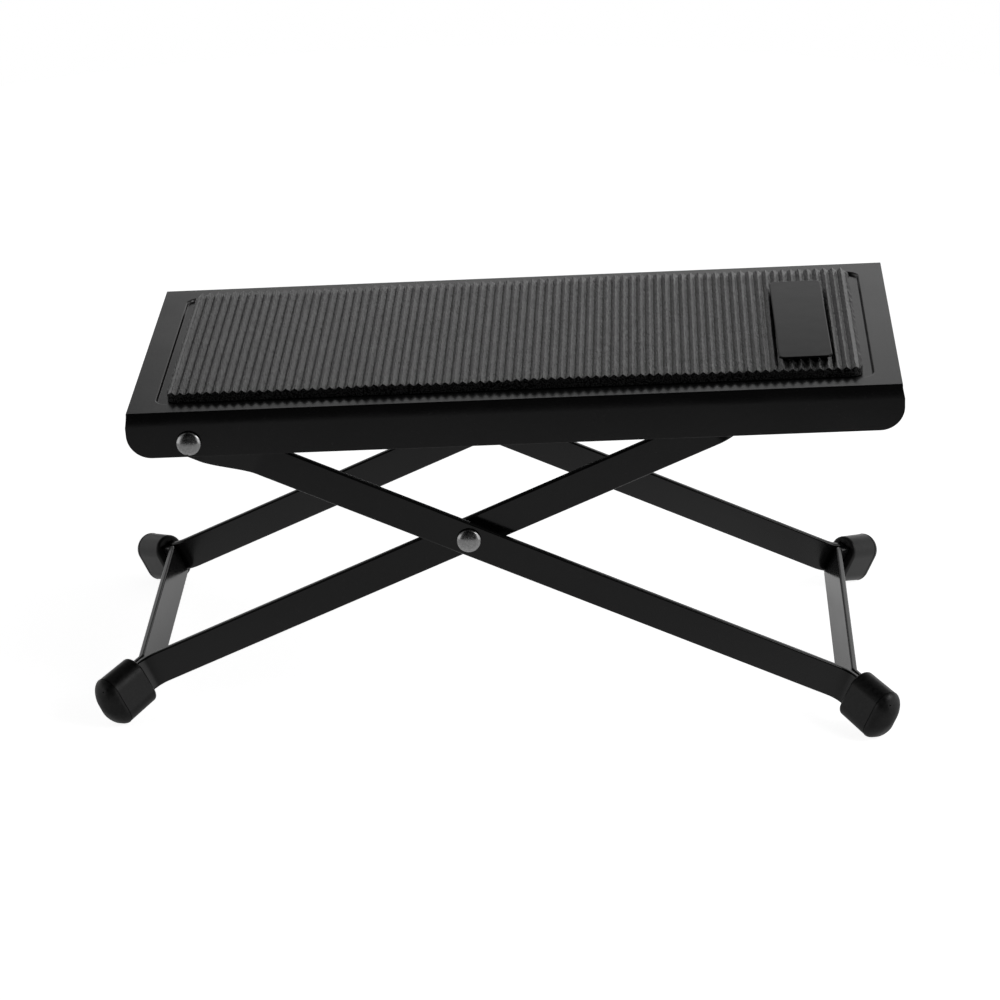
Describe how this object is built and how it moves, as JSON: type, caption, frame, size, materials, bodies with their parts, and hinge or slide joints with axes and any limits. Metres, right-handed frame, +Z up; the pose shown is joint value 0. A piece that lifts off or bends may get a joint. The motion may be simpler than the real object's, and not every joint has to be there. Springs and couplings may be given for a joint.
{
  "type": "guitar footrest",
  "caption": "Folding guitar footrest: folded steel platform with a ribbed rubber mat, carried on a riveted scissor of bent flat-bar frames with rubber caps.",
  "frame": {"origin": "on the floor, at the middle of the bounding box's base", "axes": "+X along the platform towards the end that carries the badge plate, +Y to the back, +Z up"},
  "size_m": [0.3, 0.1514, 0.1415],
  "materials": {
    "painted_steel": "satin black paint",
    "mat_rubber": "matte ribbed",
    "cap_rubber": "soft matte",
    "badge_black": "gloss, bare",
    "bare_steel": "plain plated"
  },
  "bodies": {
    "platform": {"platform_shell": "painted_steel", "rubber_mat": "mat_rubber", "badge_plate": "badge_black", "height_rail_front": "painted_steel", "height_rail_back": "painted_steel"},
    "pivot_rivets": {"platform_rivet_front": "bare_steel", "platform_rivet_back": "bare_steel", "platform_washer_front": "bare_steel", "platform_washer_back": "bare_steel"},
    "outer_leg": {"outer_leg_frame": "painted_steel", "foot_cap_right_front": "cap_rubber", "foot_cap_right_back": "cap_rubber", "scissor_rivet_front": "bare_steel", "scissor_rivet_back": "bare_steel", "scissor_washer_front": "bare_steel", "scissor_washer_back": "bare_steel", "backing_washer_front": "bare_steel", "backing_washer_back": "bare_steel"},
    "inner_leg": {"inner_leg_frame": "painted_steel", "locking_rod": "bare_steel", "foot_cap_left_front": "cap_rubber", "foot_cap_left_back": "cap_rubber"}
  },
  "joints": [
    {"name": "platform_lift", "type": "hinge", "parent": "platform", "child": "pivot_rivets", "pos_m": [-0.1106, 0, 0.11363], "axis": [0, 1, 0], "range_deg": [-0.5, 6]},
    {"name": "leg_fold", "type": "hinge", "parent": "pivot_rivets", "child": "outer_leg", "pos_m": [-0.1106, 0, 0.11363], "axis": [0, 1, 0], "range_deg": [-24.7, 16]},
    {"name": "scissor_spread", "type": "hinge", "parent": "outer_leg", "child": "inner_leg", "pos_m": [-0.00963, 0, 0.07308], "axis": [0, 1, 0], "range_deg": [-30.7, 47.4]}
  ],
  "couplings": [
    {"joint": "scissor_spread", "follows": "leg_fold", "ratio": -1.912}
  ]
}
